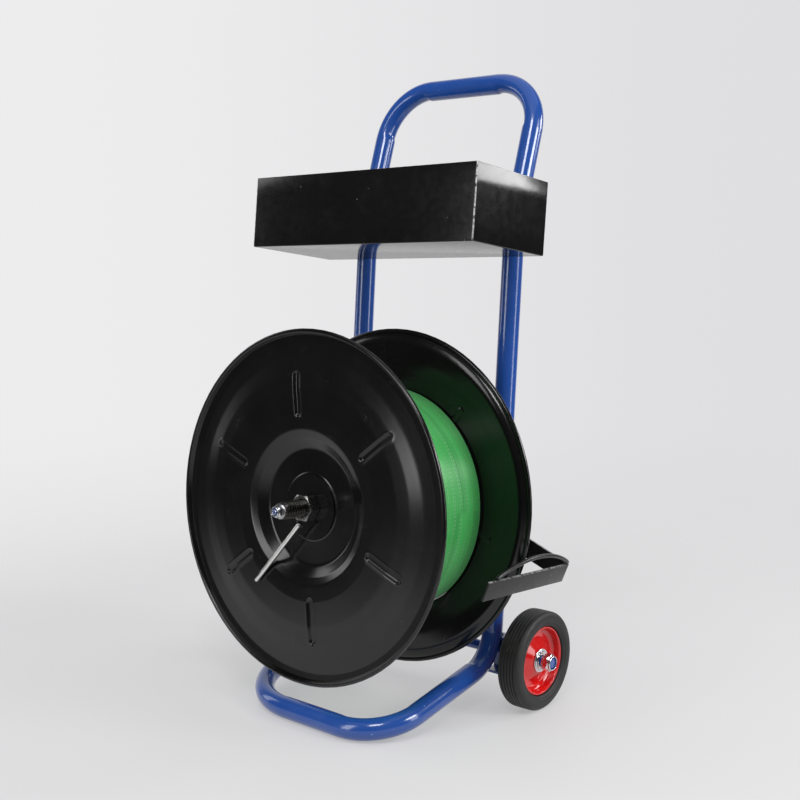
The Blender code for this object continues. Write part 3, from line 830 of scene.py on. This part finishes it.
def make_disc(name, node, body, distance, side, rim_r, press, turn):
    """Flange on the reel axis; side is which way it faces, press how deep its slots are."""
    face, rim, back = disc_section(rim_r)

    def pressed(r, z):
        if 126.0 < r < 207.0:
            return lambda angle: (r, side * (z - rib_depth(r, angle - turn, press)))
        return (r, side * z)

    rings = [pressed(r, z) for r, z in face] + [(r, side * z) for r, z in rim]
    rings += [pressed(r, z) for r, z in back]
    angles = [angle + turn for angle in disc_angles()]
    piece(name, lathe(rings, angles), "disc", body, reel_frame(distance), (node,),
          sharp=50.0)


def sag(angle):
    """How much farther out the loose winding hangs under the spindle than over it."""
    return -4.6 * math.sin(angle)


def make_coil():
    """Wound strap: crowned turns round the outside and wavy layers on both ends."""
    start = REAR_DISC + 4.6
    end = FRONT_DISC - 4.6
    turns = 12
    per_turn = 10
    pitch = (end - start) / turns
    columns = 180
    bore = 104.4
    top_layer_end = 9.35

    def wrap_radius(level, angle):
        turn = (level - start) / pitch - angle / TAU
        crown = 0.22 * (1.0 - (2.0 * (turn % 1.0) - 1.0) ** 8)
        sway = 0.10 * noise.noise(Vector(polar(2.0, angle, math.floor(turn) * 3.7)))
        layer = 0.75 * smooth(-0.03, 0.03, turn - (turns - top_layer_end))
        return COIL_R - 1.25 + crown + sway + layer + sag(angle)

    angles = even(columns)
    wraps = []
    for i in range(turns * per_turn + 1):
        level = start + (end - start) * i / (turns * per_turn)
        wraps.append([(wrap_radius(level, a), level) for a in angles])
    ends = []
    for level, direction in ((end, 1), (start, -1)):
        layers = []
        for n, r in enumerate([COIL_R - 6.8 - 5.6 * k for k in range(11)] + [bore + 2.0]):
            chamfer = 4.6 * smooth(bore + 9.0, bore + 2.0, r) if r < bore + 9.0 else 0.0
            waves = [noise.noise(Vector(polar(3.0, a, n * 2.1))) for a in angles]
            layers.append([(r, level - direction * (0.3 + chamfer) + direction * 0.25 * wave)
                           for wave in waves])
        ends.append(layers)
    rings = wraps + ends[0] + [[(bore, end - 6.0)] * columns, [(bore, start + 6.0)] * columns]
    rings += ends[1][::-1]
    verts = [polar(r, a, z) for ring in rings for a, (r, z) in zip(angles, ring)]
    mesh = mesh_of("strap_winding", (verts, ring_faces(len(rings), columns, True)))

    # The map runs along the strap in metres, and across it in turns
    strap_map = mesh.uv_layers.new(name="strap")
    for polygon in mesh.polygons:
        closes_ring = polygon.index % columns == columns - 1
        for corner in polygon.loop_indices:
            i, j = divmod(mesh.loops[corner].vertex_index, columns)
            angle = TAU if closes_ring and j == 0 else angles[j]
            r, z = rings[i][j]
            on_wrap = i < len(wraps)
            across = (z - start) / pitch - angle / TAU + 2.0 if on_wrap else r / 0.8
            strap_map.data[corner].uv = (angle * COIL_R * MM, across)
    show(mesh, "strap", "reel", reel_frame(), ("strap_coil",), 40.0)

    # Paper tape that holds the strap's loose end
    cols, lines = 24, 6
    verts = []
    for i in range(cols + 1):
        level = start + 0.8 + 44.0 * i / cols
        edge = []
        for j in range(lines + 1):
            slant = -49.0 - 0.46 * (level - start) + 3.4 * (j / lines - 0.5)
            edge.append(math.radians(slant) + 0.002 * math.sin(i * 1.7))
        for thickness, side in ((0.0, edge), (0.25, edge[::-1])):
            for angle in side:
                verts.append(polar(COIL_R - 0.1 + thickness + sag(angle), angle, level))
    piece("strap_end_tape", (verts, ring_faces(cols + 1, 2 * (lines + 1), False)), "tape", "reel",
          reel_frame())


THREAD_PITCH = 5.0
STUD_PITCH = 1.5


def make_spindle():
    """Sleeve with a trapezoidal thread on its front part, the stud in it, washer and nut."""
    crest, root = 12.5, 11.0
    bore = 7.3
    low_thread, high_thread = 255.0, 321.6

    def wave(level, angle):
        part = ((level - low_thread) / THREAD_PITCH - angle / TAU) % 1.0
        slope = abs(part - 0.5) * 2.0
        return root + (crest - root) * smooth(0.3, 0.62, slope)

    def threaded(level):
        fade = smooth(low_thread, low_thread + 2.0, level)
        end = smooth(high_thread - 1.4, high_thread, level)

        def ring(angle):
            r = crest + (wave(level, angle) - crest) * fade
            return r - end * max(0.0, r - root + 0.3), level
        return ring

    rings = [(bore, 60.5), (bore, 322.0), (bore + 0.5, 322.5), (root - 0.6, 322.5)]
    count = int((high_thread - low_thread) / 0.55)
    step = (high_thread - low_thread) / count
    rings += [threaded(high_thread - step * i) for i in range(count + 1)]
    rings += [(crest, 250.0), (crest, 60.6), (crest - 0.5, 60.0), (bore + 0.5, 60.0)]
    piece("spindle_thread", lathe(rings, even(56)), "thread", "reel", reel_frame(),
          ("spindle_sleeve",), sharp=40.0)

    def stud_ring(level):
        def ring(angle):
            part = ((level - 322.0) / STUD_PITCH - angle / TAU) % 1.0
            return 4.35 + 0.6 * abs(part - 0.5) * 2.0, level
        return ring

    stud = [(2.2, 336.2), (2.3, 335.4), (4.3, 335.4)]
    stud += [stud_ring(335.3 - 12.7 * i / 42) for i in range(43)]
    stud += [(5.0, 322.2), (7.0, 320.8), (7.0, 61.0), (7.0, 59.7), (15.4, 59.7), (16.0, 59.1),
             (16.0, 5.0), (15.4, 4.4)]
    piece("reel_stud_bar", lathe(stud, even(40), False), "blue", "frame",
          reel_frame(), ("reel_stud",), sharp=45.0)
    piece("stud_tip_ring", lathe(annulus(2.35, 4.35, 335.5, 336.9, 0.45), even(40)), "zinc",
          "frame", reel_frame())
    piece("stud_washer_flat", lathe(annulus(5.3, 11.0, 322.8, 325.0, 0.35), even(56)), "zinc",
          "frame", reel_frame(), ("stud_washer",))
    nylon_nut("stud_nut", "stud_locknut", reel_frame(325.3), 16.0, 5.3, 10.4, 0.5)


def nylon_nut(name, node, matrix, across, bore, height, start):
    """Lock nut: chamfered hexagon, round collar rolled over a nylon ring."""
    flat = across / 2.0
    hexed = height * 0.68
    rim = flat * 0.985
    reach = hexagon(across, start)
    collar = flat * 0.92
    lip = bore + (collar - bore) * 0.42
    roll = 1.3
    rings = [(bore + 0.5, 0.0), (rim - 0.2, 0.0), (rim, 0.05),
             chamfered(reach, rim, 0.0, CHAMFER_SLOPE),
             chamfered(reach, rim, hexed, -1.6 * CHAMFER_SLOPE), (collar + 0.5, hexed + 0.05),
             (collar, hexed + 0.5), (collar, height - roll)]
    for degrees in (25, 50, 75, 90):
        x, y = polar(roll, math.radians(degrees))[:2]
        rings.append((collar - roll + x, height - roll + y))
    rings += [(lip + 0.3, height), (lip, height - 0.3), (lip, height - 1.1), (bore, height - 1.2),
              (bore, 0.5)]
    piece(name, lathe(rings, even(96, start)), "zinc", "frame", matrix, (node,))
    insert = annulus(bore + 0.02, lip - 0.05, height - 1.15, height - 0.55, 0.15)
    piece(name + "_insert", lathe(insert, even(48)), "seal", "frame", matrix)


def make_clamp():
    """Hexagon nut with its round bar welded on."""
    piece("clamp_hex_nut", hex_nut(36.0, 12.8, 264.6, 283.0, 0.7), "nut", "clamp",
          reel_frame(), ("clamp_nut",), sharp=28.0)
    start = Vector((-0.9, -21.9, 282.5))
    end = Vector((-86.6, -119.8, 282.5))
    along = (end - start).normalized()
    length = (end - start).length
    path = [start + along * (length * i / 8) for i in range(8)]
    path += [end - along * 0.9, end - along * 0.3, end]
    rounding = {9: 3.15, 10: 2.6}
    skin = sweep(path, lambda i, out: rounding.get(i, 3.45), 24)
    piece("clamp_lever_rod", skin, "lever", "clamp", reel_frame(),
          ("clamp_lever",), sharp=35.0)
    across = Vector((-along.y, along.x, 0.0))
    beads = []
    for turn in (0, 1):
        ring = []
        for i in range(9):
            a = math.radians(-80.0 + 160.0 * i / 8.0) + turn * math.pi
            ring.append(start + along * (1.6 + 0.8 * math.cos(a))
                        + across * (4.1 * math.cos(a)) + Vector((0, 0, 4.1 * math.sin(a))))
        beads.append(weld(ring, 1.5, 2.0 + turn, 2.6))
    piece("clamp_lever_weld", join_skins(beads), "lever", "clamp", reel_frame())


# ---------------------------------------------------------------- strap guide
BAR_SLOPE = math.radians(20.5)
BAR_ALONG = Vector((math.cos(BAR_SLOPE), 0.0, 0.0)) - UP * math.sin(BAR_SLOPE)
BAR_DOWN = BAR_ALONG.cross(FORWARD)
BAR_X = 276.0                             # outer face of the bar's forward arm
BAR_WIDE = 29.0
BAR_CORNER = REEL_BASE + ACROSS * BAR_X - UP * 74.2


def make_guide():
    """Flat bar bent forward from the right upright, with an arched wire above it."""
    half = 2.0
    bend = 5.0
    reach = 201.0
    inner_end = 14.0 - (BAR_X - HALF - 4.0) / math.cos(BAR_SLOPE)
    outline = [(inner_end, -half), (-bend - 2.0, -half)]
    for i in range(1, 9):
        x, y = polar(bend, math.radians(-90.0 + 90.0 * i / 9.0))[:2]
        outline.append((-bend + x, -half + bend + y))
    outline += [(0.0, -half + bend), (0.0, reach), (-4.0, reach), (-4.0, -half + bend + 1.0),
                (-4.6, half + 0.4), (-5.6, half), (inner_end, half)]
    frame_bar = placed(BAR_CORNER, BAR_ALONG, FORWARD, BAR_DOWN)
    bar = piece("guide_flat_bar", extrude(outline, 0.15, BAR_WIDE - 0.15), "bar", "frame",
                frame_bar, ("guide_bar",), sharp=30.0, bevel=0.55)
    mark_wear(bar, lambda x, y, z: float(z < 0.35 or z > BAR_WIDE - 0.35))

    chord, rise = 178.0, 21.0
    radius = (chord * chord / 4.0 + rise * rise) / (2.0 * rise)
    half_angle = math.asin(chord / 2.0 / radius)
    path = []
    for i in range(41):
        a = -half_angle + 2.0 * half_angle * i / 40.0
        ahead = 5.0 + chord / 2.0 + radius * math.sin(a)
        high = 3.7 + radius * (math.cos(a) - math.cos(half_angle))
        path.append(BAR_CORNER - BAR_ALONG * 2.0 + FORWARD * ahead - BAR_DOWN * high)
    total = len(path) - 1
    skin = sweep(path, lambda i, out: 2.95 - 0.5 * (i in (0, total)), 20)
    piece("guide_wire", skin, "bar", "frame", WORLD, ("guide_rod",), sharp=40.0)

    blobs = []
    for ahead, seed in ((6.0, 1.0), (181.0, 5.0)):
        for side in (-1, 1):
            line = [BAR_CORNER - BAR_ALONG * (2.0 + side * 1.3) + FORWARD * (ahead + d)
                    - BAR_DOWN * 0.9 for d in (-4.0, 0.0, 5.0)]
            blobs.append(weld(line, 1.6, seed + side, 2.4))
    piece("guide_wire_welds", join_skins(blobs), "bar", "frame", WORLD)


# ---------------------------------------------------------------- welds on the frame
def upright_weld(step):
    """Point on the strap guide's upper edge, a step to the side of the right upright's middle."""
    return BAR_CORNER - BAR_ALONG * ((BAR_X - HALF - step) / math.cos(BAR_SLOPE))


def make_frame_details():
    """Cross bar, lugs and weld beads of the frame."""
    # Flat crossbar that carries the reel's stud
    span = 2.0 * (HALF - 16.0 - 0.3)
    outline = fillet([(-span / 2, -25.0), (span / 2, -25.0), (span / 2, 25.0),
                      (-span / 2, 25.0)], 1.2, 3)
    piece("crossbar_plate", extrude(outline, -4.0, 4.0), "blue", "frame",
          reel_frame(), ("reel_crossbar",), sharp=35.0, bevel=0.8)
    beads = []
    for side in (-1, 1):
        x = side * (HALF - 15.6)
        for depth in (-4.6, 4.6):
            beads.append(weld([(x, -23.0, depth), (x, 23.0, depth)], 2.3, side + depth))
    ring = [polar(16.6, a, 5.4) for a in even(28)]
    beads.append(weld(ring + ring[:1], 2.0, 8.0))
    piece("crossbar_welds", join_skins(beads), "blue", "frame", reel_frame())

    # Lugs and beads that hold the tray on the uprights
    skins = []
    for side in (-1, 1):
        top = TRAY_MIDDLE + TRAY_BACK * (TRAY[1] / 2.0) + TRAY_UP * (TRAY[2] / 2.0 - 2.0)
        lug = [Vector((side * HALF + dx, top.y + dy, top.z + dz))
               for dx in (-8.0, 8.0) for dy, dz in ((0.6, 0.0), (13.0, 1.5), (12.0, -12.0),
                                                    (-0.4, -12.0))]
        skins.append((lug, ring_faces(2, 4, False)))
        arc = []
        for i in range(9):
            a = math.radians(-150.0 + 120.0 * i / 8.0)
            arc.append(Vector((side * HALF, top.y + 16.6, top.z)) + Vector(polar(16.2, a, 2.5)))
        skins.append(weld(arc, 2.1, side * 4.0, 3.6))
        low = [Vector((side * HALF + dx, -21.0, 681.0)) for dx in (-9.0, 0.0, 9.0)]
        skins.append(weld(low, 2.0, side * 7.0))
    piece("tray_lugs", join_skins(skins), "blue", "frame", WORLD, sharp=30.0)

    # Bead of the strap guide on the right upright
    guide = []
    for level in (2.0, 27.0):
        line = [upright_weld(15.0) + BAR_DOWN * level + FORWARD * d for d in (-5.0, 0.0, 5.0)]
        guide.append(weld(line, 2.2, level))
    for depth in (-3.0, 3.0):
        line = [upright_weld(15.4) + BAR_DOWN * d + FORWARD * depth for d in (2.0, 14.0, 27.0)]
        guide.append(weld(line, 2.2, depth))
    piece("guide_bar_welds", join_skins(guide), "bar", "frame", WORLD)


# ---------------------------------------------------------------- wheels
WHEEL_X = 215.5
NUT_FACE = 234.2
AXLE_END = 247.3
CHANNEL_START, CHANNEL_END = 134.0, 192.0  # distances from the cart's middle
CHANNEL_LOW, CHANNEL_HIGH = -34.0, 26.0   # heights about the axle


def make_axle():
    """Axle rod, and the channels from the tubes out to the wheels."""
    half_bar = [(6.4, AXLE_END), (7.2, AXLE_END - 0.3), (7.9, AXLE_END - 1.2),
                (7.95, AXLE_END - 20.0)]
    bar = half_bar + [(r, -z) for r, z in half_bar[::-1]]
    piece("axle_bar", lathe(bar, even(48), False), "blue", "frame",
          axle_frame(0.0, 1), ("wheel_axle",), sharp=35.0)
    back, reach, sheet = 8.3, 14.0, 4.0
    low, high = CHANNEL_LOW, CHANNEL_HIGH
    section = [(-back - sheet, low), (reach, low), (reach, low + sheet), (-back, low + sheet),
               (-back, high - sheet), (reach, high - sheet), (reach, high), (-back - sheet, high)]
    radii = [5.0, 0.6, 0.6, 2.0, 2.0, 0.6, 0.6, 5.0]
    for side, label in ((-1, "left"), (1, "right")):
        outline = fillet([(side * -y, z) for y, z in section], radii, 4)
        # the channels and their welds take the darker blue, which is painted shade
        channel = piece("axle_bracket_" + label,
                        extrude(outline, 0.1, CHANNEL_END - CHANNEL_START - 0.1), "blue_painted_shade",
                        "frame", axle_frame(side * CHANNEL_START, side),
                        ("axle_channel_" + label,), sharp=30.0, bevel=0.5)
        tube_at = upright(side, WHEEL_Z + high)
        notch = lathe([(16.4, 20.0), (16.4, -20.0)], even(48), False)
        carve(channel, notch, placed(tube_at, ACROSS, -FORWARD, UP))
        arc = []
        for i in range(17):
            a = math.radians(20.0 + 140.0 * i / 16.0)
            arc.append(tube_at + Vector((16.8 * math.cos(a), 16.8 * math.sin(a) * 0.95, 1.2)))
        beads = [weld(arc[2:12] if side > 0 else arc[5:15], 2.3, side * 3.0)]
        for x in (-16.0, 16.0):
            spot = upright(side, WHEEL_Z) + Vector((x * 0.78, 10.5, 0.0))
            beads.append(weld([spot + Vector((0.0, 0.0, z)) for z in (-7.0, 0.0, 7.0)], 2.6, x))
        piece("axle_bracket_welds_" + label, join_skins(beads), "blue_painted_shade", "frame",
              WORLD)


def make_wheel(side, label):
    """Grooved tyre, pressed rim, bearing, washer and nut of one wheel."""
    body = "wheel_" + label
    matrix = axle_frame(side * WHEEL_X, side)
    outer = [(52.2, 12.8), (53.0, 15.9), (56.4, 18.4), (57.4, 17.9), (58.6, 19.2), (64.0, 19.9),
             (69.8, 19.0), (72.9, 17.0), (74.6, 14.4)]
    radii = [0.5, 1.6, 1.0, 0.5, 1.0, 4.0, 3.0, 3.0, 1.0]
    groove = 1.7
    for middle in (10.6, 5.3):
        crown = 74.9 + 0.012 * (10.6 - middle)
        outer += [(crown, middle + 1.25), (crown - groove, middle + 0.75),
                  (crown - groove, middle - 0.75), (crown, middle - 1.25)]
        radii += [0.35, 0.4, 0.4, 0.35]
    outer += [(75.0, 1.25), (75.0 - groove, 0.75)]
    radii += [0.35, 0.4]
    section = fillet(outer + [(r, -z) for r, z in reversed(outer)], radii + radii[::-1], 2)
    piece("tyre_tread_" + label, lathe(section, even(112)), "rubber", body, matrix,
          ("tyre_" + label,), sharp=50.0)

    dish = [(51.9, 13.2), (51.0, 14.3), (49.4, 14.1), (48.3, 11.8), (47.0, 3.4), (42.0, 0.3),
            (34.2, 1.0), (20.5, 8.6), (17.8, 9.7), (13.2, 9.8)]
    bottom = [(13.2, 7.6), (18.4, 7.2), (33.6, -1.2), (42.2, -1.8), (47.4, -3.0), (49.2, -12.4),
              (50.4, -14.2), (51.9, -13.4)]
    radii = [0.8, 0.9, 0.9, 2.0, 3.5, 4.0, 6.0, 2.0, 2.0, 0.2, 0.2, 3.0, 5.0, 3.0, 3.0, 1.0,
             0.8, 0.5]
    piece("rim_dish_" + label, lathe(fillet(dish + bottom, radii, 5), even(96)), "red", body,
          matrix, ("rim_" + label,), sharp=50.0)

    bearing = [(8.3, 12.4), (8.3, -16.0), (12.9, -16.0), (12.9, 10.1), (17.4, 10.1),
               (18.0, 10.6), (18.0, 11.6), (17.2, 12.1), (14.9, 12.1), (14.3, 13.6),
               (12.7, 13.6), (12.2, 12.7), (10.6, 12.7), (10.0, 13.5), (8.9, 13.5)]
    radii = [0.3, 0.4, 0.4, 0.3, 0.3, 0.3, 0.4, 0.3, 0.4, 0.5, 0.3, 0.3, 0.3, 0.3, 0.3]
    piece("bearing_flange_" + label, lathe(fillet(bearing, radii, 3), even(64)), "zinc", body,
          matrix, ("wheel_bearing_" + label,), sharp=40.0)
    piece("axle_washer_" + label, lathe(annulus(8.3, 12.4, 0.0, 2.4, 0.4), even(56)), "zinc",
          "frame", axle_frame(side * NUT_FACE, side), ("wheel_washer_" + label,))
    nylon_nut("axle_nut_" + label, "wheel_locknut_" + label,
              axle_frame(side * (NUT_FACE + 2.7), side), 24.0, 8.3, 12.0, 0.3)


# ---------------------------------------------------------------- stage
def make_floor():
    """Round paper floor, finer near the cart."""
    rings, count, floor_r = 24, 96, 5200.0
    verts = [(0.0, 0.0, 0.0)]
    for i in range(1, rings + 1):
        radius = floor_r * (i / rings) ** 1.4
        verts += [polar(radius, a) for a in even(count)]
    faces = [(0, 1 + j, 1 + (j + 1) % count) for j in range(count)]
    faces += [[i + 1 for i in face] for face in ring_faces(rings, count, False)[:-2]]
    piece("studio_floor", (verts, faces), "floor", None, Matrix())


def make_world():
    """Pale paper for the camera, an even wash for diffuse light, and a dark room for gloss with
    the lit paper behind the cart."""
    world = bpy.data.worlds.new("studio")
    bpy.context.scene.world = world
    world.use_nodes = True
    nodes, links = world.node_tree.nodes, world.node_tree.links
    seen = nodes["Background"]
    room = nodes.new("ShaderNodeBackground")
    wash = nodes.new("ShaderNodeBackground")
    wash.inputs[0].default_value = (0.62, 0.615, 0.63, 1.0)
    place = nodes.new("ShaderNodeTexCoord")
    for target, direction, low, high, first, last in (
            (room, (-0.65, 0.76, 0.0), 0.45, 0.85, (0.035, 0.035, 0.038), (0.74, 0.735, 0.74)),
            (seen, (0.77, 0.64, 0.0), -0.3, 0.3, (0.85, 0.845, 0.855), (0.74, 0.735, 0.75))):
        toward = nodes.new("ShaderNodeVectorMath")
        toward.operation = "DOT_PRODUCT"
        toward.inputs[1].default_value = direction
        links.new(place.outputs["Generated"], toward.inputs[0])
        ramp = nodes.new("ShaderNodeMapRange")
        ramp.interpolation_type = "SMOOTHSTEP"
        ramp.inputs["From Min"].default_value = low
        ramp.inputs["From Max"].default_value = high
        links.new(toward.outputs["Value"], ramp.inputs["Value"])
        tone = nodes.new("ShaderNodeMix")
        tone.data_type = "RGBA"
        links.new(ramp.outputs[0], tone.inputs["Factor"])
        for socket, colour in zip(rgba_sockets(tone.inputs), (first, last)):
            socket.default_value = (*colour, 1.0)
        links.new(rgba_sockets(tone.outputs)[0], target.inputs[0])
    path = nodes.new("ShaderNodeLightPath")
    behind = room.outputs[0]
    for test, light in (("Is Diffuse Ray", wash), ("Is Camera Ray", seen)):
        choose = nodes.new("ShaderNodeMixShader")
        links.new(path.outputs[test], choose.inputs[0])
        links.new(behind, choose.inputs[1])
        links.new(light.outputs[0], choose.inputs[2])
        behind = choose.outputs[0]
    links.new(behind, nodes["World Output"].inputs[0])


def softbox(name, place, target, size, power):
    """Rectangular studio light, in metres and watts, turned to its target."""
    data = bpy.data.lights.new(name, "AREA")
    data.shape = "RECTANGLE"
    data.size, data.size_y = size
    data.energy = power
    obj = linked(name, data)
    obj.location = place
    aim = (Vector(target) - Vector(place)).to_track_quat("-Z", "Y")
    obj.rotation_euler = aim.to_euler()


def around(degrees, distance, height):
    """Place in metres at a bearing from the cart's middle; -90 degrees is in front of it."""
    return polar(distance, math.radians(degrees), height)


def make_lights():
    middle = (0.0, 0.0, 0.5)
    softbox("top", (0.1, 0.0, 3.0), (0.0, 0.0, 0.0), (3.6, 3.2), 16.0)
    softbox("front", around(-104.0, 2.7, 1.35), (0.0, 0.0, 0.75), (0.75, 2.3), 24.0)
    softbox("front_high", around(-62.0, 1.75, 2.3), middle, (0.8, 0.6), 22.0)
    softbox("right", around(16.0, 2.5, 1.1), (0.0, 0.0, 0.7), (0.65, 2.0), 17.0)
    softbox("right_high", around(10.0, 2.4, 1.5), (0.1, 0.0, 0.4), (0.9, 0.5), 20.0)
    softbox("left", around(-158.0, 2.7, 1.1), middle, (0.6, 1.7), 7.0)
    softbox("back_right", around(52.0, 3.0, 1.55), middle, (1.1, 0.7), 24.0)


CAMERA_PLACE = (1.155588, -1.357434, 0.676009)
CAMERA_TURN = (-0.69343, -0.11841, 0.00515)
CAMERA_LENS = 53.4357


def make_camera():
    """Camera at the photograph's viewing angle."""
    azimuth, elevation, roll = CAMERA_TURN
    forward = Vector((math.sin(azimuth) * math.cos(elevation),
                      math.cos(azimuth) * math.cos(elevation), math.sin(elevation)))
    right = forward.cross(Vector((0, 0, 1))).normalized()
    up = right.cross(forward)
    x_axis = right * math.cos(roll) + up * math.sin(roll)
    y_axis = up * math.cos(roll) - right * math.sin(roll)
    rot = Matrix((x_axis, y_axis, -forward)).transposed().to_4x4()
    data = bpy.data.cameras.new("view")
    data.sensor_width = 36.0
    data.lens = CAMERA_LENS
    data.clip_end = 60.0
    camera = linked("view", data)
    camera.matrix_world = Matrix.Translation(CAMERA_PLACE) @ rot
    bpy.context.scene.camera = camera


# ---------------------------------------------------------------- assembly
MAT["floor"] = floor_paint("floor_paper")
bpy.context.scene.view_settings.view_transform = "Standard"

make_camera()
make_world()
make_lights()
make_floor()
make_tube()
make_tray()
make_disc("front_flange_disc", "front_disc", "front_flange", FRONT_DISC, 1, FRONT_RIM_R, 3.2, 0.0)
make_disc("rear_flange_disc", "rear_disc", "reel", REAR_DISC, -1, REAR_RIM_R, 1.5, 0.183)
make_coil()
make_spindle()
make_clamp()
make_guide()
make_frame_details()
make_axle()
for wheel_side, wheel_label in ((-1, "left"), (1, "right")):
    make_wheel(wheel_side, wheel_label)

for kept, finish in (("strap_core", "board"), ("rear_hub_plate", "disc"),
                     ("pressure_plate", "disc")):
    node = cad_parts[kept]
    node.data.materials.clear()
    node.data.materials.append(MAT[finish])
